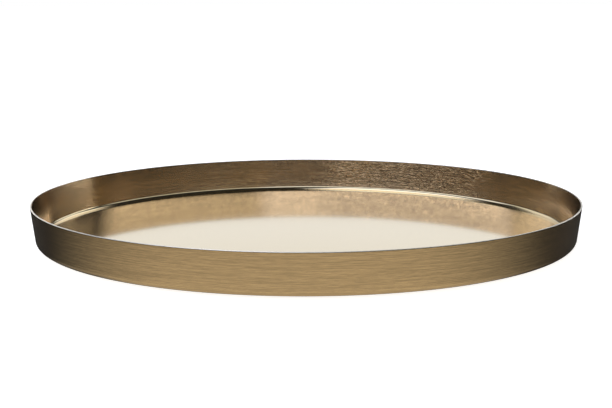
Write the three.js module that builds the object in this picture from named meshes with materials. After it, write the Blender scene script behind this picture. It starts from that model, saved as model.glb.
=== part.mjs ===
// A round metal tray: one disc of brushed brass sheet, pressed into a shallow pan with a
// leaning wall, standing on four felt pads that keep it from scratching a table.
// Millimetres, +Z up, with the origin on the table under the middle of the tray.
import * as THREE from "three";

// The pressed pan. Its height is measured from the underside of its base to its rim.
const rimDiameter = 360;
const panHeight = 25;
const sheetThickness = 1;
const wallLeanDegrees = 7;
const outsideCornerRadius = 3.5;
const rimEdgeRadius = 0.3;

// The felt pads, stuck to the flat of the base, this far in from where it bends up.
const padCount = 4;
const padDiameter = 20;
const padThickness = 2;
const padInset = 14;
const padEdgeRadius = 0.5;

// How finely the round shapes are divided.
const panSides = 144;
const padSides = 36;
const cornerSteps = 7;
const edgeSteps = 2;

const brushedBrass = new THREE.MeshStandardMaterial({
  color: new THREE.Color(0.68, 0.53, 0.32),
  roughness: 0.35,
  metalness: 1,
});
const brownFelt = new THREE.MeshStandardMaterial({
  color: new THREE.Color(0.16, 0.13, 0.1),
  roughness: 0.95,
  metalness: 0,
});

// The turned outlines are drawn in the half plane (distance from the axis, height).
// This arc gives both of its end points.
function arc(centre, radius, startAngle, endAngle, steps) {
  const points = [];
  for (let step = 0; step <= steps; step++) {
    const angle = startAngle + ((endAngle - startAngle) * step) / steps;
    points.push(
      new THREE.Vector2(
        centre.x + radius * Math.cos(angle),
        centre.y + radius * Math.sin(angle),
      ),
    );
  }
  return points;
}

// The solid that an outline sweeps out about the Z axis. The outline starts on the axis,
// runs outwards and up, and comes back to the axis.
function turned(outline, sides) {
  return new THREE.LatheGeometry(outline, sides).rotateX(Math.PI / 2);
}

const quarterTurn = Math.PI / 2;
const lean = THREE.MathUtils.degToRad(wallLeanDegrees);
const baseHeight = padThickness;
const rimHeight = baseHeight + panHeight;

// Distance from the axis to the leaning wall at a height, for a surface that lies this
// deep in the sheet: 0 is the outside, and the sheet's thickness is the inside.
function wallRadius(height, depth) {
  return rimDiameter / 2 - (rimHeight - height) * Math.tan(lean) - depth / Math.cos(lean);
}

// The bend between the base and the wall. Both faces of the sheet turn about one centre,
// and the base is flat as far out as that centre.
const bendHeight = baseHeight + outsideCornerRadius;
const bendCentre = new THREE.Vector2(wallRadius(bendHeight, outsideCornerRadius), bendHeight);
const insideCornerRadius = outsideCornerRadius - sheetThickness;

// The pan's section: out along the underside, round the bend, up the outside of the wall,
// over the deburred rim, down the inside and back along the floor.
function panOutline() {
  const edgeHeight = rimHeight - rimEdgeRadius;
  const outerEdge = new THREE.Vector2(wallRadius(edgeHeight, rimEdgeRadius), edgeHeight);
  const innerEdge = new THREE.Vector2(
    wallRadius(edgeHeight, sheetThickness - rimEdgeRadius),
    edgeHeight,
  );
  return [
    new THREE.Vector2(0, baseHeight),
    ...arc(bendCentre, outsideCornerRadius, -quarterTurn, -lean, cornerSteps),
    ...arc(outerEdge, rimEdgeRadius, -lean, quarterTurn, edgeSteps),
    ...arc(innerEdge, rimEdgeRadius, quarterTurn, Math.PI - lean, edgeSteps),
    ...arc(bendCentre, insideCornerRadius, -lean, -quarterTurn, cornerSteps),
    new THREE.Vector2(0, baseHeight + sheetThickness),
  ];
}

// One felt pad, with its lower edge rounded by wear.
function padOutline() {
  const padRadius = padDiameter / 2;
  const edgeCentre = new THREE.Vector2(padRadius - padEdgeRadius, padEdgeRadius);
  return [
    new THREE.Vector2(0, 0),
    ...arc(edgeCentre, padEdgeRadius, -quarterTurn, 0, edgeSteps),
    new THREE.Vector2(padRadius, padThickness),
    new THREE.Vector2(0, padThickness),
  ];
}

const tray = new THREE.Group();

const pan = new THREE.Mesh(turned(panOutline(), panSides), brushedBrass);
pan.name = "tray_pan";
tray.add(pan);

const padCircleRadius = bendCentre.x - padInset - padDiameter / 2;
const padGeometry = turned(padOutline(), padSides);
for (let index = 0; index < padCount; index++) {
  const angle = (2 * Math.PI * (index + 0.5)) / padCount;
  const pad = new THREE.Mesh(padGeometry, brownFelt);
  pad.name = `felt_pad_${index + 1}`;
  pad.position.set(padCircleRadius * Math.cos(angle), padCircleRadius * Math.sin(angle), 0);
  tray.add(pad);
}

export default tray;
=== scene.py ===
"""A round tray of brushed brass sheet on four felt pads, in a plain white studio."""
import math

import bmesh
import bpy
from mathutils import Euler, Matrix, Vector, noise


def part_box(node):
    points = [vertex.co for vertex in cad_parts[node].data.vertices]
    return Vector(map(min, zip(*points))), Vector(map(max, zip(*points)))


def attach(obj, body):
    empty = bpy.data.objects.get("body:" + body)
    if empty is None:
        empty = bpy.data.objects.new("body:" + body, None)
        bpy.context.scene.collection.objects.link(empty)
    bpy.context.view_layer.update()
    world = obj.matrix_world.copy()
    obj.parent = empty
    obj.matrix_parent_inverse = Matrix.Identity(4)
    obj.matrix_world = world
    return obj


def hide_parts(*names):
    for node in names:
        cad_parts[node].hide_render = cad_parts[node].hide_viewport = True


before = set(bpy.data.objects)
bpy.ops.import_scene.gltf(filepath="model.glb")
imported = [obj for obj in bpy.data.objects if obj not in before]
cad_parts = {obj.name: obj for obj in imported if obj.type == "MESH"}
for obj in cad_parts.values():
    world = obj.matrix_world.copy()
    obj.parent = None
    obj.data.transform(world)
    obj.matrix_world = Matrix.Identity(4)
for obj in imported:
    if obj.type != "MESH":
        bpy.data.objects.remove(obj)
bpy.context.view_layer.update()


# The camera
# It stands in front of the tray and a little above it, and looks down at the front wall,
# over it at the floor, and at the inside of the wall behind.
CAMERA_PLACE = (-0.0001, -0.7733, 0.1554)
CAMERA_PITCH = math.radians(-9.855)
CAMERA_ROLL = math.radians(-0.12)
LENS_MM = 69.04
SENSOR_MM = 36.0

camera_data = bpy.data.cameras.new("camera")
camera_data.lens = LENS_MM
camera_data.sensor_width = SENSOR_MM
camera = bpy.data.objects.new("camera", camera_data)
camera.location = CAMERA_PLACE
level_view = Euler((math.pi / 2 + CAMERA_PITCH, 0.0, 0.0)).to_matrix()
camera.rotation_euler = (level_view @ Euler((0.0, 0.0, CAMERA_ROLL)).to_matrix()).to_euler()
bpy.context.scene.collection.objects.link(camera)
bpy.context.scene.camera = camera


# The pan
# One disc of brass sheet, pressed into a flat floor and a low wall that leans out. The rim
# is trimmed level and its edges are broken, and the whole sheet is brushed round its axis.
SHEET = 0.001
WALL_LEAN = math.radians(7)
OUTSIDE_CORNER_RADIUS = 0.0035
RIM_EDGE_RADIUS = 0.0003
PAN_SIDES = 512
CORNER_POINTS = 14
RINGS_PER_FACE = 12
LONG_FACE = 0.006
WELD_DISTANCE = 0.000002

pan_low, pan_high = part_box("tray_pan")


def add_node(tree, kind, inputs=(), **settings):
    """A node with its settings, and its inputs fed by number or name from sockets or values."""
    node = tree.nodes.new(kind)
    for name, value in settings.items():
        setattr(node, name, value)
    for key, value in dict(inputs).items():
        if isinstance(value, bpy.types.NodeSocket):
            tree.links.new(value, node.inputs[key])
        else:
            node.inputs[key].default_value = value
    return node


def maths(tree, operation, *terms):
    """The result of a Math node on sockets or numbers."""
    return add_node(tree, "ShaderNodeMath", dict(enumerate(terms)), operation=operation).outputs[0]


pan_tree = bpy.data.node_groups.new("pressed_pan", "GeometryNodeTree")
pan_tree.interface.new_socket("Pan", in_out="OUTPUT", socket_type="NodeSocketGeometry")
PAN_SIZES = {
    "Rim Radius": (pan_high.x - pan_low.x) / 2,
    "Base Height": pan_low.z,
    "Rim Height": pan_high.z,
    "Sheet Thickness": SHEET,
    "Wall Lean": WALL_LEAN,
    "Outside Corner Radius": OUTSIDE_CORNER_RADIUS,
    "Rim Edge Radius": RIM_EDGE_RADIUS,
    "Long Face": LONG_FACE,
}
PAN_COUNTS = {"Sides": PAN_SIDES, "Corner Points": CORNER_POINTS, "Rings Per Face": RINGS_PER_FACE}
for name in PAN_SIZES:
    pan_tree.interface.new_socket(name, in_out="INPUT", socket_type="NodeSocketFloat")
for name in PAN_COUNTS:
    pan_tree.interface.new_socket(name, in_out="INPUT", socket_type="NodeSocketInt")
FINISH_STARTS = {
    "Outside Finish": (0, 0),
    "Rim Finish With Painted Highlight": (1, 1),
    "Inside Finish": (3, 0),
    "Floor Finish With Painted Highlight": (3, 1),
}
for name in FINISH_STARTS:
    pan_tree.interface.new_socket(name, in_out="INPUT", socket_type="NodeSocketMaterial")
given = pan_tree.nodes.new("NodeGroupInput").outputs


def pan_maths(operation, *terms):
    """The result of a Math node of the pan's tree."""
    return maths(pan_tree, operation, *terms)


def section_point(across, up):
    """A point of the pan's section: its distance from the axis, and its height."""
    return add_node(pan_tree, "ShaderNodeCombineXYZ", {0: across, 1: up}).outputs[0]


def wall_distance(height, inside):
    """Distance from the axis to the outer or the inner face of the wall, at a height."""
    drop = pan_maths("SUBTRACT", given["Rim Height"], height)
    leaning = pan_maths("MULTIPLY", drop, pan_maths("TANGENT", given["Wall Lean"]))
    outer = pan_maths("SUBTRACT", given["Rim Radius"], leaning)
    if not inside:
        return outer
    level_thickness = pan_maths(
        "DIVIDE", given["Sheet Thickness"], pan_maths("COSINE", given["Wall Lean"])
    )
    return pan_maths("SUBTRACT", outer, level_thickness)


# The section's sharp corners, from the axis along the underside, up the wall, over the rim
# and back to the axis along the floor, each with the radius that it is rounded to.
floor_height = pan_maths("ADD", given["Base Height"], given["Sheet Thickness"])
inside_corner = pan_maths("SUBTRACT", given["Outside Corner Radius"], given["Sheet Thickness"])
section_corners = [
    (section_point(0.0, given["Base Height"]), 0.0),
    (
        section_point(wall_distance(given["Base Height"], False), given["Base Height"]),
        given["Outside Corner Radius"],
    ),
    (section_point(given["Rim Radius"], given["Rim Height"]), given["Rim Edge Radius"]),
    (
        section_point(wall_distance(given["Rim Height"], True), given["Rim Height"]),
        given["Rim Edge Radius"],
    ),
    (section_point(wall_distance(floor_height, True), floor_height), inside_corner),
    (section_point(0.0, floor_height), 0.0),
]


def by_corner(data_type, values):
    """The value that belongs to a corner of the section, picked by the corner's number."""
    index = pan_tree.nodes.new("GeometryNodeInputIndex").outputs[0]
    switch = pan_tree.nodes.new("GeometryNodeIndexSwitch")
    switch.data_type = data_type
    while len(switch.index_switch_items) < len(values):
        switch.index_switch_items.new()
    pan_tree.links.new(index, switch.inputs[0])
    for number, value in enumerate(values):
        if isinstance(value, bpy.types.NodeSocket):
            pan_tree.links.new(value, switch.inputs[number + 1])
        else:
            switch.inputs[number + 1].default_value = value
    return switch.outputs[0]


corner_line = add_node(pan_tree, "GeometryNodeMeshLine", {"Count": len(section_corners)})
sharp_section = add_node(
    pan_tree,
    "GeometryNodeSetPosition",
    {
        "Geometry": add_node(
            pan_tree, "GeometryNodeMeshToCurve", {"Mesh": corner_line.outputs[0]}
        ).outputs[0],
        "Position": by_corner("VECTOR", [point for point, radius in section_corners]),
    },
).outputs[0]
round_section = add_node(
    pan_tree,
    "GeometryNodeFilletCurve",
    {
        "Curve": sharp_section,
        "Count": given["Corner Points"],
        "Radius": by_corner("FLOAT", [radius for point, radius in section_corners]),
    },
    mode="POLY",
).outputs[0]

# The long faces of the section get points that crowd towards the bends, so that the
# shading turns only where the sheet does.
point_number = pan_tree.nodes.new("GeometryNodeInputIndex").outputs[0]
point_place = pan_tree.nodes.new("GeometryNodeInputPosition").outputs[0]
next_place = add_node(
    pan_tree,
    "GeometryNodeFieldAtIndex",
    {"Index": pan_maths("ADD", point_number, 1), "Value": point_place},
    data_type="FLOAT_VECTOR",
).outputs[0]
face_length = add_node(
    pan_tree, "ShaderNodeVectorMath", {0: point_place, 1: next_place}, operation="DISTANCE"
).outputs["Value"]
is_long = pan_maths("GREATER_THAN", face_length, given["Long Face"])
numbered = add_node(pan_tree, "GeometryNodeCaptureAttribute", {"Geometry": round_section})
numbered.capture_items.new("FLOAT", "Number")
pan_tree.links.new(point_number, numbered.inputs["Number"])
divided = add_node(
    pan_tree,
    "GeometryNodeSubdivideCurve",
    {
        "Curve": numbered.outputs["Geometry"],
        "Cuts": pan_maths("MULTIPLY", is_long, given["Rings Per Face"]),
    },
).outputs[0]


def place_of_number(number):
    """Where a numbered point of the rounded section lies."""
    return add_node(
        pan_tree,
        "GeometryNodeSampleIndex",
        {"Geometry": round_section, "Value": point_place, "Index": number},
        data_type="FLOAT_VECTOR",
        clamp=True,
    ).outputs[0]


number = numbered.outputs["Number"]
start_number = pan_maths("FLOOR", number)
crowded = add_node(
    pan_tree,
    "ShaderNodeMapRange",
    {"Value": pan_maths("SUBTRACT", number, start_number)},
    interpolation_type="SMOOTHSTEP",
).outputs[0]
section = add_node(
    pan_tree,
    "GeometryNodeSetPosition",
    {
        "Geometry": divided,
        "Position": add_node(
            pan_tree,
            "ShaderNodeMix",
            {
                "Factor": crowded,
                4: place_of_number(start_number),
                5: place_of_number(pan_maths("ADD", start_number, 1)),
            },
            data_type="VECTOR",
        ).outputs[1],
    },
).outputs[0]

# A grid, one way round the axis and the other along the section, is wrapped into the pan.
section_count = add_node(
    pan_tree, "GeometryNodeAttributeDomainSize", {"Geometry": section}, component="CURVE"
).outputs["Point Count"]
grid = add_node(
    pan_tree,
    "GeometryNodeMeshGrid",
    {"Vertices X": pan_maths("ADD", given["Sides"], 1), "Vertices Y": section_count},
)
grid_place = add_node(
    pan_tree, "ShaderNodeSeparateXYZ", {0: pan_tree.nodes.new("GeometryNodeInputPosition").outputs[0]}
)
turn = pan_maths("MULTIPLY", pan_maths("ADD", grid_place.outputs[0], 0.5), 2 * math.pi)
along = pan_maths(
    "ROUND",
    pan_maths(
        "MULTIPLY",
        pan_maths("ADD", grid_place.outputs[1], 0.5),
        pan_maths("SUBTRACT", section_count, 1),
    ),
)


def along_section(data_type, value):
    """What the section has where this vertex of the grid goes."""
    return add_node(
        pan_tree,
        "GeometryNodeSampleIndex",
        {"Geometry": section, "Value": value, "Index": along},
        data_type=data_type,
        clamp=True,
    ).outputs[0]


section_place = add_node(
    pan_tree,
    "ShaderNodeSeparateXYZ",
    {
        0: along_section(
            "FLOAT_VECTOR", pan_tree.nodes.new("GeometryNodeInputPosition").outputs[0]
        )
    },
)
placed = add_node(pan_tree, "GeometryNodeCaptureAttribute", {"Geometry": grid.outputs["Mesh"]})
placed.capture_items.new("FLOAT", "Place")
pan_tree.links.new(along_section("FLOAT", number), placed.inputs["Place"])
place_along = placed.outputs["Place"]
wrapped = add_node(
    pan_tree,
    "GeometryNodeSetPosition",
    {
        "Geometry": placed.outputs["Geometry"],
        "Position": add_node(
            pan_tree,
            "ShaderNodeCombineXYZ",
            {
                0: pan_maths("MULTIPLY", section_place.outputs[0], pan_maths("COSINE", turn)),
                1: pan_maths("MULTIPLY", section_place.outputs[0], pan_maths("SINE", turn)),
                2: section_place.outputs[1],
            },
        ).outputs[0],
    },
).outputs[0]
welded = add_node(
    pan_tree,
    "GeometryNodeMergeByDistance",
    {"Geometry": wrapped, "Distance": WELD_DISTANCE},
).outputs[0]
smooth = add_node(pan_tree, "GeometryNodeSetShadeSmooth", {"Geometry": welded}).outputs[0]
finished = add_node(pan_tree, "GeometryNodeRealizeInstances", {"Geometry": smooth}).outputs[0]

# Each finish starts where so many bends and faces of the section have been passed.
section_size = add_node(
    pan_tree, "GeometryNodeAttributeDomainSize", {"Geometry": round_section}, component="CURVE"
).outputs["Point Count"]
points_per_bend = pan_maths("DIVIDE", pan_maths("SUBTRACT", section_size, 2), 4)
for finish, (bends, faces) in FINISH_STARTS.items():
    start = pan_maths("MULTIPLY_ADD", points_per_bend, bends, faces)
    finished = add_node(
        pan_tree,
        "GeometryNodeSetMaterial",
        {
            "Geometry": finished,
            "Selection": pan_maths("GREATER_THAN", place_along, start),
            "Material": given[finish],
        },
    ).outputs[0]
pan_result = pan_tree.nodes.new("NodeGroupOutput")
pan_tree.links.new(finished, pan_result.inputs[0])

# The finishes. The sheet is brushed in rings and lacquered: the wall by hand, in long
# scratches and short strokes that bite hardest inside at the back right, and the floor and
# the bend so finely that they are satin. The rim's brass is painted paler, a painted highlight
# along its edge, and the floor's brass is paler than the wall's, a painted highlight too. Just
# below the rim the walls carry a thin line of painted shade.
ACROSS_THE_BRUSHING = 0.25
# Each kind of mark: its length along the ring, its width, how wavy it is, its depth, and the
# shares of the brass's brightness that are left where it is darkest and lightest.
LONG_SCRATCHES = (0.035, 0.0005, 0.0, 0.00002, 0.84, 1.03)
SHORT_STROKES = (0.006, 0.0007, 0.4, 0.00004, 0.92, 1.03)
WIDE_SCRATCHES = (0.025, 0.0009, 0.0, 0.00002, 0.86, 1.06)
RUBBED_STROKES = (0.0045, 0.0008, 0.5, 0.00004, 0.87, 1.07)
HARD_STROKES = (0.0045, 0.0007, 0.9, 0.00012, 0.82, 1.12)
SATIN_RINGS = (0.04, 0.0005, 0.0, 0.000001, 0.97, 1.0)
CUT_MARKS = (0.0006, 0.0006, 0.0, 0.00001, 0.9, 1.0)
DARKEST_AT = 0.4
LIGHTEST_AT = 0.6
# The hardest strokes lie this far round from the back towards the right. They are at full
# strength within the smaller angle of that, and gone past the larger.
HARDEST_BEARING = math.radians(29)
HARD_WITHIN = math.radians(16)
HARD_UP_TO = math.radians(31)
HARDEST_WAY = (math.sin(HARDEST_BEARING), math.cos(HARDEST_BEARING), 0.0)
MARK_DETAIL = 2.0
# Inside, the shading turns as if the floor rose by this much towards the bend and the foot of
# the wall leaned in by this much, each along a power of the way to it. Only the shading does.
FLOOR_EASE = 0.0015
FLOOR_EASE_POWER = 8.0
WALL_EASE = 0.0004
WALL_EASE_POWER = 5.0
# How far below the rim the walls are darkened in a line of painted shade.
RIM_SHADE_LINE_WIDTH = 0.0008
# Each finish: its colour, roughness, anisotropy, the lacquer's roughness, the brightness of the
# line of painted shade below the rim, whether it lies inside, and its marks.
FINISHES = {
    "Outside Finish": (
        (0.77, 0.54, 0.285), 0.2, 0.9, 0.2, 0.5, False, [LONG_SCRATCHES, SHORT_STROKES]
    ),
    # The rim's pale brass colour is a painted highlight: it makes the rim read as a bright line.
    "Rim Finish With Painted Highlight": ((0.93, 0.87, 0.76), 0.25, 0.0, 0.2, 1.0, False, [CUT_MARKS]),
    "Inside Finish": (
        (0.755, 0.55, 0.31), 0.15, 0.9, 0.15, 0.7, True,
        [WIDE_SCRATCHES, RUBBED_STROKES, HARD_STROKES],
    ),
    # The brass of the floor and the bend is paler than the wall's: a painted highlight, for the
    # washed-out look of the bright reflections in it.
    "Floor Finish With Painted Highlight": ((0.77, 0.64, 0.39), 0.085, 0.3, 0.08, 1.0, True, [SATIN_RINGS]),
}
LACQUER = 0.7


def vector_maths(tree, operation, *terms):
    """The vector that a Vector Math node makes of vectors, and of a number to scale by."""
    inputs = dict(enumerate(terms))
    if operation == "SCALE":
        inputs = {0: terms[0], "Scale": terms[1]}
    return add_node(tree, "ShaderNodeVectorMath", inputs, operation=operation).outputs[0]


def ramp(tree, value, start, end, low, high):
    """Low up to where the value starts, high past its end, and smooth between them."""
    return add_node(
        tree,
        "ShaderNodeMapRange",
        {"Value": value, "From Min": start, "From Max": end, "To Min": low, "To Max": high},
        interpolation_type="SMOOTHSTEP",
    ).outputs[0]


def brushed_brass(
    name, colour, roughness, anisotropy, lacquer_roughness, rim_shade_line, inside, kinds_of_mark
):
    """Lacquered brass, with marks drawn out along rings about the axis, and a line of painted shade below
    the rim.
    """
    material = bpy.data.materials.new(name)
    material.use_nodes = True
    tree = material.node_tree
    shader = tree.nodes["Principled BSDF"]
    shader.inputs["Metallic"].default_value = 1.0
    shader.inputs["Roughness"].default_value = roughness
    shader.inputs["Anisotropic"].default_value = anisotropy
    shader.inputs["Anisotropic Rotation"].default_value = ACROSS_THE_BRUSHING
    shader.inputs["Coat Weight"].default_value = LACQUER
    shader.inputs["Coat Roughness"].default_value = lacquer_roughness
    rings = add_node(tree, "ShaderNodeTangent", direction_type="RADIAL", axis="Z")
    tree.links.new(rings.outputs[0], shader.inputs["Tangent"])

    place = tree.nodes.new("ShaderNodeTexCoord").outputs["Object"]
    x, y, height = add_node(tree, "ShaderNodeSeparateXYZ", {0: place}).outputs
    level = add_node(tree, "ShaderNodeCombineXYZ", {0: x, 1: y}).outputs[0]
    way = vector_maths(tree, "NORMALIZE", level)
    distance = add_node(
        tree, "ShaderNodeVectorMath", {0: level}, operation="LENGTH"
    ).outputs["Value"]
    across = maths(tree, "ADD", distance, height)
    hardness = ramp(
        tree,
        add_node(
            tree, "ShaderNodeVectorMath", {0: way, 1: HARDEST_WAY}, operation="DOT_PRODUCT"
        ).outputs["Value"],
        math.cos(HARD_UP_TO),
        math.cos(HARD_WITHIN),
        0.0,
        1.0,
    )
    # The colour is darkened in a thin line just below the rim: painted shade.
    brightness = ramp(
        tree,
        height,
        PAN_SIZES["Rim Height"] - RIM_SHADE_LINE_WIDTH,
        PAN_SIZES["Rim Height"] - RIM_SHADE_LINE_WIDTH / 2,
        1.0,
        rim_shade_line,
    )
    surface = None
    if inside:
        out = maths(tree, "DIVIDE", distance, PAN_SIZES["Rim Radius"])
        rise = maths(tree, "MULTIPLY", maths(tree, "POWER", out, FLOOR_EASE_POWER), FLOOR_EASE)
        down = maths(
            tree,
            "DIVIDE",
            maths(tree, "SUBTRACT", PAN_SIZES["Rim Height"], height),
            PAN_SIZES["Rim Height"] - PAN_SIZES["Base Height"] - SHEET,
        )
        foot = maths(tree, "MULTIPLY", maths(tree, "POWER", down, WALL_EASE_POWER), WALL_EASE)
        eased = maths(tree, "ADD", rise, foot)
        surface = add_node(tree, "ShaderNodeBump", {"Height": eased, "Distance": 1.0}).outputs[0]
    for kind in kinds_of_mark:
        length, width, waviness, depth, darkest, lightest = kind
        round_axis = vector_maths(tree, "SCALE", way, PAN_SIZES["Rim Radius"] / length)
        up = add_node(
            tree, "ShaderNodeCombineXYZ", {2: maths(tree, "MULTIPLY", across, 1 / width)}
        ).outputs[0]
        marks = add_node(
            tree,
            "ShaderNodeTexNoise",
            {
                "Vector": vector_maths(tree, "ADD", round_axis, up),
                "Scale": 1.0,
                "Detail": MARK_DETAIL,
                "Distortion": waviness,
            },
        ).outputs[0]
        strength = 1.0
        if kind is HARD_STROKES:
            strength = hardness
        bump = add_node(
            tree, "ShaderNodeBump", {"Height": marks, "Distance": depth, "Strength": strength}
        )
        if surface:
            tree.links.new(surface, bump.inputs["Normal"])
        surface = bump.outputs[0]
        tone = ramp(tree, marks, DARKEST_AT, LIGHTEST_AT, darkest - 1, lightest - 1)
        tone = maths(tree, "MULTIPLY_ADD", tone, strength, 1.0)
        brightness = maths(tree, "MULTIPLY", brightness, tone)
    tree.links.new(surface, shader.inputs["Normal"])
    tree.links.new(vector_maths(tree, "SCALE", colour, brightness), shader.inputs["Base Color"])
    return material


pan_source = bpy.data.objects.new("pan_source", bpy.data.meshes.new("pan_source"))
bpy.context.scene.collection.objects.link(pan_source)
press = pan_source.modifiers.new("press", "NODES")
press.node_group = pan_tree
socket_names = {
    item.name: item.identifier for item in pan_tree.interface.items_tree if item.in_out == "INPUT"
}
for name, value in {**PAN_SIZES, **PAN_COUNTS}.items():
    press[socket_names[name]] = value
for name, look in FINISHES.items():
    press[socket_names[name]] = brushed_brass(name.lower().replace(" ", "_"), *look)
bpy.context.view_layer.update()
evaluated = pan_source.evaluated_get(bpy.context.evaluated_depsgraph_get())
pan = bpy.data.objects.new("brass_pan", bpy.data.meshes.new_from_object(evaluated))
bpy.context.scene.collection.objects.link(pan)
pan_source.modifiers.remove(press)
bpy.data.objects.remove(pan_source)
pan.data.materials.pop(index=0)

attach(pan, "root")
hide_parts("tray_pan")


# The felt pads
# Discs of pressed felt, stuck to the flat of the base so that it can't scratch a table.
# Their cut sides are a little uneven, and the lower edge is worn round.
PADS = ("felt_pad_1", "felt_pad_2", "felt_pad_3", "felt_pad_4")
PAD_SIDES = 120
PAD_EDGE_RADIUS = 0.0005
PAD_EDGE_STEPS = 4
PAD_RINGS = 6
CUT_UNEVENNESS = 0.00015
CUT_WAVES = 900.0
PRESSED_UNEVENNESS = 0.00004
DARK_FELT = (0.055, 0.042, 0.032, 1.0)
LIGHT_FELT = (0.15, 0.12, 0.092, 1.0)
FIBRE_WAVES = 2600.0
FIBRE_DEPTH = 0.00015
FIBRE_DETAIL = 4.0
FIBRE_TANGLE = 2.0
FELT_GLOSS = 0.1
FELT_SHEEN = 0.35
FELT_SHEEN_ROUGHNESS = 0.6

felt = bpy.data.materials.new("pressed_felt")
felt.use_nodes = True
felt_tree = felt.node_tree
felt_shader = felt_tree.nodes["Principled BSDF"]
felt_place = felt_tree.nodes.new("ShaderNodeTexCoord").outputs["Object"]
fibres = add_node(
    felt_tree,
    "ShaderNodeTexNoise",
    {"Vector": felt_place, "Scale": FIBRE_WAVES, "Detail": FIBRE_DETAIL, "Distortion": FIBRE_TANGLE},
).outputs[0]
felt_colour = add_node(
    felt_tree,
    "ShaderNodeMix",
    {"Factor": fibres, 6: DARK_FELT, 7: LIGHT_FELT},
    data_type="RGBA",
).outputs[2]
felt_bump = add_node(felt_tree, "ShaderNodeBump", {"Height": fibres, "Distance": FIBRE_DEPTH})
felt_tree.links.new(felt_colour, felt_shader.inputs["Base Color"])
felt_tree.links.new(felt_bump.outputs[0], felt_shader.inputs["Normal"])
felt_shader.inputs["Roughness"].default_value = 1.0
felt_shader.inputs["Specular IOR Level"].default_value = FELT_GLOSS
felt_shader.inputs["Sheen Weight"].default_value = FELT_SHEEN
felt_shader.inputs["Sheen Roughness"].default_value = FELT_SHEEN_ROUGHNESS

for pad_name in PADS:
    pad_low, pad_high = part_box(pad_name)
    pad_centre = (pad_low + pad_high) / 2
    pad_radius = (pad_high.x - pad_low.x) / 2 - CUT_UNEVENNESS
    outline = [(pad_radius * ring / PAD_RINGS, pad_high.z) for ring in range(1, PAD_RINGS + 1)]
    for step in range(PAD_EDGE_STEPS + 1):
        bend = math.pi / 2 * step / PAD_EDGE_STEPS
        outline.append(
            (
                pad_radius - PAD_EDGE_RADIUS * (1 - math.cos(bend)),
                pad_low.z + PAD_EDGE_RADIUS * (1 - math.sin(bend)),
            )
        )
    inner_rings = range(PAD_RINGS - 1, 0, -1)
    outline += [(pad_radius * ring / PAD_RINGS, pad_low.z) for ring in inner_rings]

    build = bmesh.new()
    rings = []
    for distance, height in outline:
        ring = []
        for side in range(PAD_SIDES):
            angle = 2 * math.pi * side / PAD_SIDES
            way = Vector((math.cos(angle), math.sin(angle), 0.0))
            spot = Vector((pad_centre.x, pad_centre.y, height)) + way * distance
            spot += way * noise.noise(spot * CUT_WAVES) * CUT_UNEVENNESS * distance / pad_radius
            if pad_low.z < height < pad_high.z:
                spot.z += noise.noise(spot * CUT_WAVES) * PRESSED_UNEVENNESS
            ring.append(build.verts.new(spot))
        rings.append(ring)
    for upper, lower in zip(rings, rings[1:]):
        for side in range(PAD_SIDES):
            after = (side + 1) % PAD_SIDES
            build.faces.new((upper[side], lower[side], lower[after], upper[after]))
    for ring, height in ((rings[0], pad_high.z), (rings[-1], pad_low.z)):
        middle = build.verts.new((pad_centre.x, pad_centre.y, height))
        for side in range(PAD_SIDES):
            build.faces.new((ring[side], ring[(side + 1) % PAD_SIDES], middle))
    bmesh.ops.recalc_face_normals(build, faces=build.faces)
    for face in build.faces:
        face.smooth = True
    pad_mesh = bpy.data.meshes.new(pad_name)
    build.to_mesh(pad_mesh)
    build.free()
    pad = bpy.data.objects.new("disc_" + pad_name, pad_mesh)
    bpy.context.scene.collection.objects.link(pad)
    pad.data.materials.append(felt)
    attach(pad, "root")
    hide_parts(pad_name)


# The studio
# A white floor that runs out to a white surround. The light comes from soft panels far off
# all round, some above the floor and some below, as if it lay on a glass table.
FLOOR_RADIUS = 30.0
FLOOR_SIDES = 96
FLOOR_GLOW = 0.86
FLOOR_WHITE = (0.8, 0.8, 0.8, 1.0)
WHITE_LIGHT = (1.0, 1.0, 1.0, 1.0)

floor_mesh = bpy.data.meshes.new("studio_floor")
floor_build = bmesh.new()
bmesh.ops.create_circle(
    floor_build, cap_ends=True, segments=FLOOR_SIDES, radius=FLOOR_RADIUS
)
floor_build.to_mesh(floor_mesh)
floor_build.free()
floor = bpy.data.objects.new("studio_floor", floor_mesh)
bpy.context.scene.collection.objects.link(floor)
floor.visible_glossy = False
white = bpy.data.materials.new("white_floor")
white.use_nodes = True
paint = white.node_tree.nodes["Principled BSDF"]
paint.inputs["Base Color"].default_value = FLOOR_WHITE
paint.inputs["Roughness"].default_value = 1.0
paint.inputs["Specular IOR Level"].default_value = 0.0
paint.inputs["Emission Color"].default_value = WHITE_LIGHT
paint.inputs["Emission Strength"].default_value = FLOOR_GLOW
floor.data.materials.append(white)

# The tints of the light, as shares of red, green and blue.
COOL = (0.95, 1.0, 1.2)
WARM = (1.05, 1.0, 0.85)
NEUTRAL = (1.0, 1.0, 1.0)
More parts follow.
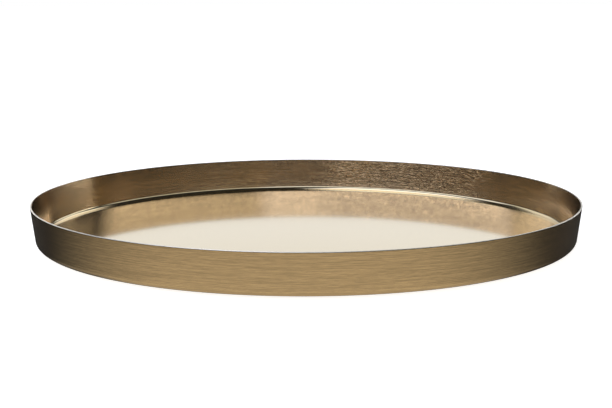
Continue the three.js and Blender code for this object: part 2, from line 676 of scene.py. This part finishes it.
# Each panel: the way to its middle and how far it reaches to each side of that, round the
# axis and up, how softly its edge fades, its strength, and its colour. Degrees, with 0 at
# the camera's side and positive to the right.
PANELS = {
    "over the left": ((-105, 70), (80, 18), (30, 10), 1.7, COOL),
    "front left": ((-45, 27), (70, 10), (20, 6), 1.35, COOL),
    "front right": ((60, 23), (50, 6), (20, 5), 1.0, NEUTRAL),
    "right strip": ((133, 8), (18, 6), (8, 4), 2.2, NEUTRAL),
    "left strip": ((-160, 4), (25, 4), (10, 5), 1.6, NEUTRAL),
    "right rear": ((160, 32), (22, 10), (10, 8), 1.2, NEUTRAL),
    "rear high": ((-170, 42), (16, 12), (10, 8), 1.8, NEUTRAL),
    "backdrop": ((180, 11), (22, 4), (12, 4), 0.95, NEUTRAL),
    "behind left": ((-145, 25), (20, 7), (15, 8), 0.9, NEUTRAL),
    "left side": ((-130, 17), (20, 5), (10, 5), 1.0, NEUTRAL),
    "right": ((45, 13), (25, 2), (25, 8), 0.3, NEUTRAL),
    "low front": ((-8, -34), (105, 14), (120, 12), 0.66, WARM),
    "under": ((0, -90), (180, 48), (1, 24), 0.5, WARM),
    "room": ((0, 0), (180, 90), (2, 2), 0.03, NEUTRAL),
}

world = bpy.data.worlds.new("studio")
bpy.context.scene.world = world
world.use_nodes = True
sky = world.node_tree
toward = add_node(
    sky, "ShaderNodeSeparateXYZ", {0: sky.nodes.new("ShaderNodeTexCoord").outputs["Generated"]}
)
azimuth = maths(sky, "ARCTAN2", toward.outputs[0], maths(sky, "MULTIPLY", toward.outputs[1], -1))
elevation = maths(sky, "ARCSINE", toward.outputs[2])


def inside_band(angle, reach, softness):
    """1 within a panel's reach of its middle, fading to 0 across its soft edge."""
    return add_node(
        sky,
        "ShaderNodeMapRange",
        {
            "Value": maths(sky, "ABSOLUTE", angle),
            "From Min": math.radians(reach - softness / 2),
            "From Max": math.radians(reach + softness / 2),
            "To Min": 1.0,
            "To Max": 0.0,
        },
        interpolation_type="SMOOTHSTEP",
    ).outputs[0]


light = None
for (middle, height), (reach_round, reach_up), (soft_round, soft_up), strength, colour in PANELS.values():
    round_axis = maths(
        sky, "WRAP", maths(sky, "SUBTRACT", azimuth, math.radians(middle)), math.pi, -math.pi
    )
    up = maths(sky, "SUBTRACT", elevation, math.radians(height))
    shape = maths(
        sky,
        "MULTIPLY",
        inside_band(round_axis, reach_round, soft_round),
        inside_band(up, reach_up, soft_up),
    )
    panel = add_node(
        sky,
        "ShaderNodeVectorMath",
        {0: colour, "Scale": maths(sky, "MULTIPLY", shape, strength)},
        operation="SCALE",
    ).outputs[0]
    if light is None:
        light = panel
    else:
        light = add_node(
            sky, "ShaderNodeVectorMath", {0: light, 1: panel}, operation="MAXIMUM"
        ).outputs[0]
panels_lit = sky.nodes["Background"]
sky.links.new(light, panels_lit.inputs[0])
surround = add_node(sky, "ShaderNodeBackground", {0: WHITE_LIGHT, 1: 1.0})
seen = add_node(
    sky,
    "ShaderNodeMixShader",
    {
        0: sky.nodes.new("ShaderNodeLightPath").outputs["Is Camera Ray"],
        1: panels_lit.outputs[0],
        2: surround.outputs[0],
    },
)
sky.links.new(seen.outputs[0], sky.nodes["World Output"].inputs[0])
bpy.context.scene.view_settings.view_transform = "Standard"
